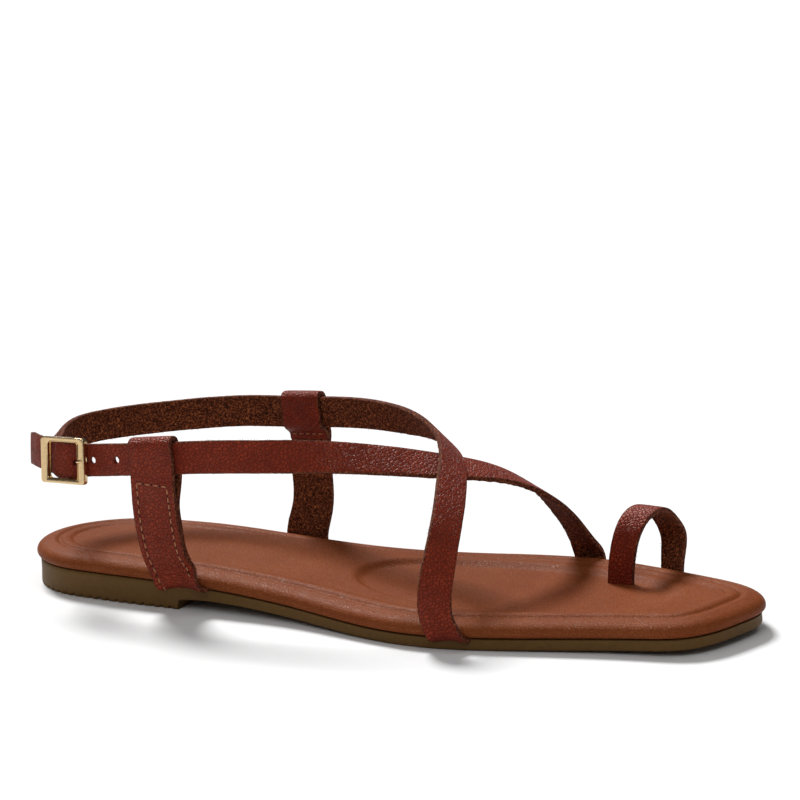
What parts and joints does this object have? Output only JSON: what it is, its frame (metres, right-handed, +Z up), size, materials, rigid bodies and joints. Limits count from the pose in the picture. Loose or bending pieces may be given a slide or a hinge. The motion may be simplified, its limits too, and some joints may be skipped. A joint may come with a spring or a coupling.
{
  "type": "toe loop sandal",
  "caption": "Flat right-foot sandal with a padded footbed, crossed straps that buckle at the heel, ankle keepers and a toe loop.",
  "frame": {"origin": "middle of the heel's flat rest on the floor", "axes": "+X to the toe, +Y to the medial side, +Z up from the floor"},
  "size_m": [0.2522, 0.0964, 0.0608],
  "materials": {
    "moulded_rubber": "matt moulded rubber",
    "tan_lining_leather": "smooth, lightly polished",
    "brown_strap_leather": "fine grain outside, rough flesh side inside",
    "pale_gold_plating": "polished pale gold plating"
  },
  "bodies": {
    "root": {"outsole": "moulded_rubber", "footbed": "tan_lining_leather", "crossed_straps": "brown_strap_leather", "toe_loop": "brown_strap_leather", "lateral_keeper": "brown_strap_leather", "medial_keeper": "brown_strap_leather", "buckle_frame": "pale_gold_plating", "buckle_prong": "pale_gold_plating"}
  },
  "joints": []
}
